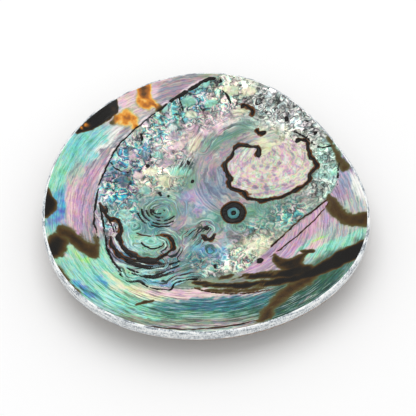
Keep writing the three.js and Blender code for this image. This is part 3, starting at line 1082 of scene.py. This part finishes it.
flake_crack = nacre.math("MULTIPLY", nacre.span(nacre.edges(flake_place), 0.08, 0.03), where_cracked)
chip_gap = nacre.edges(chip_place)
chip_crack = nacre.product(nacre.span(chip_gap, 0.14, 0.05), nacre.span(chip_tag[2], 0.6, 0.8))
grit = nacre.span(nacre.noise(nacre.place(0.6), 2.0, 0.6), 0.36, 0.64)
mottle = nacre.noise(nacre.place(2.4), 5.0, 0.6)

# Growth lines: noise drawn out along the sheets' edges, with a line about every SHEET_STEP mm.
SHEET_STEP = 0.75
waver = nacre.noise(nacre.place(2.2), 3.0, 0.6)
across_sheets = nacre.centred(waver, 1.0, nacre.math("DIVIDE", nacre.stored("sheet"), SHEET_STEP))
patch_place = nacre.split(nacre.place(8.0), vector=True)
sheet_noise = nacre.noise(nacre.joined(across_sheets, patch_place[0], patch_place[1]), 2.0, 0.6)
sheet_lines = nacre.span(sheet_noise, 0.36, 0.64)
off_knobs = nacre.math("SUBTRACT", 1.0, nacre.product(knobby_value, 0.7))
lined_value = nacre.product(nacre.stored("lined"), off_knobs)

# Strokes on the island fan out from above it.
ISLAND_FAN = (24.0, 36.0)
STROKE_LENGTH = 3.4
STROKES_A_RADIAN = 13.0
plan = nacre.split(nacre.place(1.0), vector=True)
fan_east = nacre.math("SUBTRACT", plan[0], ISLAND_FAN[0])
fan_south = nacre.math("SUBTRACT", ISLAND_FAN[1], plan[1])
fan_turn = nacre.math("MULTIPLY", nacre.math("ARCTAN2", fan_east, fan_south), STROKES_A_RADIAN)
fan_away = nacre.math("DIVIDE", nacre.length(fan_east, fan_south), STROKE_LENGTH)
strokes = nacre.noise(nacre.joined(nacre.centred(waver, 1.4, fan_turn), fan_away), 2.0, 0.55)
stroke_colour = nacre.ramp(
    nacre.span(strokes, 0.34, 0.66), (0.0, (168, 138, 162)), (0.25, (212, 162, 194)),
    (0.45, (240, 194, 206)), (0.6, (240, 226, 160)), (0.8, (172, 210, 178)), (1.0, (242, 242, 230)),
)

# The knobs are lit unevenly: by the flake, by the patch, by the chip and by the grit.
hue_shift = nacre.centred(mottle, 0.35, 0.5)
hue_shift = nacre.centred(sheet_lines, nacre.product(lined_value, 0.10), hue_shift)
light = nacre.math("MULTIPLY_ADD", knobby_value, 0.24, 1.0)
light = nacre.centred(flake_tag[1], nacre.product(knobby_value, 0.9), light)
light = nacre.centred(patch, nacre.product(knobby_value, 1.1), light)
chip_light = nacre.math("MULTIPLY_ADD", silver_value, 0.9, 0.2)
light = nacre.centred(chip_tag[1], nacre.product(knobby_value, chip_light), light)
light = nacre.centred(grit, nacre.math("MULTIPLY_ADD", knobby_value, 0.34, 0.06), light)
light = nacre.math("ADD", light, nacre.product(arcs, knobby_value, 0.22))
light = nacre.centred(sheet_lines, nacre.product(lined_value, 0.85), light)
light = nacre.math("MAXIMUM", light, 0.06)

shade = nacre.tree.nodes.new("ShaderNodeHueSaturation")
nacre.feed(shade.inputs["Hue"], hue_shift)
nacre.feed(shade.inputs["Saturation"], 1.25)
nacre.feed(shade.inputs["Value"], light)
nacre.feed(shade.inputs["Color"], nacre.stored("tint", "Color"))
colour = shade.outputs["Color"]

# Over that come the sheets' own colours: on the knobs, on the island and along the growth lines.
sheet_colour = nacre.ramp(
    arc_share, (0.0, (26, 34, 40)), (0.06, (62, 104, 128)), (0.2, (96, 178, 196)),
    (0.36, (160, 226, 200)), (0.5, (244, 240, 204)), (0.62, (255, 253, 248)), (0.74, (238, 190, 206)),
    (0.86, (150, 142, 166)), (0.95, (66, 68, 74)), (1.0, (26, 34, 40)),
)
faded = nacre.tree.nodes.new("ShaderNodeHueSaturation")
nacre.feed(faded.inputs["Color"], sheet_colour)
nacre.feed(faded.inputs["Saturation"], nacre.math("MULTIPLY_ADD", silver_value, -0.85, 1.3))
nacre.feed(faded.inputs["Value"], light)
colour = nacre.mix(nacre.product(knobby_value, 0.6), colour, faded.outputs["Color"])
colour = nacre.mix(nacre.product(nacre.stored("island"), 0.68), colour, stroke_colour)
line_colour = nacre.ramp(
    nacre.math("FRACT", nacre.product(sheet_noise, 4.0)), (0.0, (52, 78, 92)), (0.25, (104, 168, 172)),
    (0.5, (158, 218, 186)), (0.7, (228, 226, 206)), (0.85, (206, 168, 196)), (1.0, (110, 108, 132)),
)
colour = nacre.mix(nacre.product(lined_value, in_scar_value, 0.46), colour, line_colour)

# The film of thin sheets changes tint along bands a few millimetres wide. It is laid over the colour so
# far, under the dark and the pale lines.
FILM_BAND = 2.4
film_place = nacre.split(nacre.place(14.0), vector=True)
across_film = nacre.centred(waver, 1.6, nacre.math("DIVIDE", nacre.stored("sheet"), FILM_BAND))
film = nacre.noise(nacre.joined(across_film, film_place[0], film_place[1]), 3.0, 0.6)
film_colour = nacre.ramp(
    nacre.span(film, 0.34, 0.66), (0.0, (70, 110, 130)), (0.2, (130, 200, 195)), (0.4, (180, 212, 188)),
    (0.55, (225, 220, 185)), (0.7, (215, 170, 195)), (0.85, (160, 150, 190)), (1.0, (120, 190, 205)),
)
film_share = nacre.product(nacre.math("MULTIPLY_ADD", knobby_value, -0.9, 1.0), 0.52)
colour = nacre.mix(film_share, colour, film_colour, "OVERLAY")
line_dark = nacre.product(nacre.span(sheet_noise, 0.46, 0.39), lined_value, 0.95)
colour = nacre.mix(line_dark, colour, flat((24, 36, 42)))
line_pale = nacre.product(nacre.span(sheet_noise, 0.57, 0.64), lined_value, 0.6)
colour = nacre.mix(line_pale, colour, flat((226, 240, 232)))
cracks = nacre.math("MAXIMUM", flake_crack, nacre.product(chip_crack, 0.8))
colour = nacre.mix(nacre.product(cracks, knobby_value, 0.9), colour, flat((14, 18, 18)))
# Painted highlights: small near white glints on the knobs.
painted_glint = nacre.product(nacre.span(chip_tag[0], 0.88, 0.94), nacre.span(chip_gap, 0.08, 0.2))
colour = nacre.mix(nacre.product(painted_glint, knobby_value, 0.7), colour, flat((250, 250, 244)))


# The horn darkens as it thickens, and the seams lie over everything.
horn_value = nacre.centred(nacre.span(mottle, 0.36, 0.64), 0.12, nacre.stored("horn"))
horn_colour = nacre.ramp(
    horn_value, (0.0, (126, 136, 96)), (0.2, (88, 82, 44)), (0.42, (74, 52, 20)), (0.6, (48, 34, 14)),
    (0.8, (26, 21, 13)), (1.0, (15, 13, 10)),
)
amber_colour = nacre.ramp(
    horn_value, (0.0, (240, 236, 150)), (0.1, (206, 226, 110)), (0.2, (246, 196, 96)),
    (0.3, (226, 142, 40)), (0.42, (168, 98, 26)), (0.6, (96, 60, 18)), (0.75, (44, 28, 12)),
)
horn_colour = nacre.mix(nacre.stored("amber"), horn_colour, amber_colour)
colour = nacre.mix(nacre.span(horn_value, 0.02, 0.24), colour, horn_colour)
colour = nacre.mix(nacre.span(nacre.stored("brown_edge"), 0.3, 0.7), colour, flat((96, 56, 14)))
seam_value = nacre.stored("seam")
colour = nacre.mix(nacre.span(seam_value, 0.25, 0.55), colour, flat((14, 11, 9)))
nacre.feed(nacre.surface.inputs["Base Color"], colour)
nacre.surface.inputs["Coat Weight"].default_value = 0.1
nacre.surface.inputs["Coat Roughness"].default_value = 0.06
nacre.surface.inputs["Specular IOR Level"].default_value = 0.15
nacre.feed(nacre.surface.inputs["Roughness"], nacre.span(mottle, 0.2, 0.8, 0.2, 0.36))
bumps = nacre.bump(nacre.product(arcs, knobby_value), 0.06)
bumps = nacre.bump(nacre.product(grit, knobby_value), 0.12, bumps)
bumps = nacre.bump(nacre.product(sheet_lines, lined_value), 0.12, bumps)
nacre.feed(nacre.surface.inputs["Normal"], bumps)

edge = Paint("ground_edge")
edge_height = edge.split(edge.place(1.0), vector=True)[2]
edge_lines = edge.span(edge.noise(edge.place(5.0, 5.0, 0.4), 4.0, 0.65), 0.34, 0.66)
edge_scratches = edge.span(edge.noise(edge.place(0.5, 0.5, 1.5), 3.0, 0.6), 0.36, 0.64)
edge_shine = edge.centred(edge_scratches, 0.5, edge_lines)
edge_colour = edge.ramp(
    edge_shine, (0.0, (120, 128, 136)), (0.3, (190, 198, 204)), (0.6, (232, 238, 240)),
    (1.0, (255, 255, 252)),
)
edge_colour = edge.mix(edge.span(edge_height, 12.5, 12.15), edge_colour, flat((150, 120, 95)))
edge.feed(edge.surface.inputs["Base Color"], edge_colour)
edge.surface.inputs["Roughness"].default_value = 0.35
edge.surface.inputs["Coat Weight"].default_value = 0.3
edge.feed(edge.surface.inputs["Normal"], edge.bump(edge_lines, 0.1))

back = Paint("natural_back")
back_plan = back.split(back.place(1.0), vector=True)
apex_east = back.math("SUBTRACT", back_plan[0], APEX[0])
apex_north = back.math("SUBTRACT", back_plan[1], APEX[1])
from_apex = back.length(apex_east, apex_north)
back_waver = back.noise(back.place(9.0), 5.0, 0.6)
across_growth = back.centred(back_waver, 3.0, back.math("DIVIDE", from_apex, 1.6))
growth_place = back.joined(across_growth, back.stored("on_flat"))
growth_bands = back.span(back.noise(growth_place, 3.0, 0.6), 0.34, 0.66)
back_colour = back.ramp(
    growth_bands, (0.0, (46, 36, 32)), (0.3, (84, 60, 50)), (0.55, (104, 88, 70)), (0.75, (92, 96, 80)),
    (1.0, (142, 134, 118)),
)
crust = back.span(back.noise(back.place(5.0), 6.0, 0.65), 0.55, 0.62)
back_colour = back.mix(back.product(crust, 0.75), back_colour, flat((196, 188, 170)))
ground_nacre = back.ramp(
    growth_bands, (0.0, (120, 150, 150)), (0.35, (170, 215, 195)), (0.6, (225, 205, 215)),
    (1.0, (235, 240, 230)),
)
back_colour = back.mix(back.stored("on_flat"), back_colour, ground_nacre)
back.feed(back.surface.inputs["Base Color"], back_colour)
back.feed(back.surface.inputs["Roughness"], back.span(back.stored("on_flat"), 0.0, 1.0, 0.65, 0.25))
back.surface.inputs["Specular IOR Level"].default_value = 0.3
back_bump = back.bump(growth_bands, 0.25)
back_bump = back.bump(back.noise(back.place(0.8), 4.0), 0.2, back_bump)
back.feed(back.surface.inputs["Normal"], back_bump)

for paint in (nacre, edge, back):
    mesh.materials.append(paint.material)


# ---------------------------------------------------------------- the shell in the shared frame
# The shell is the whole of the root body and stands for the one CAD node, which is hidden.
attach(shell, "root")
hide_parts("abalone_shell")
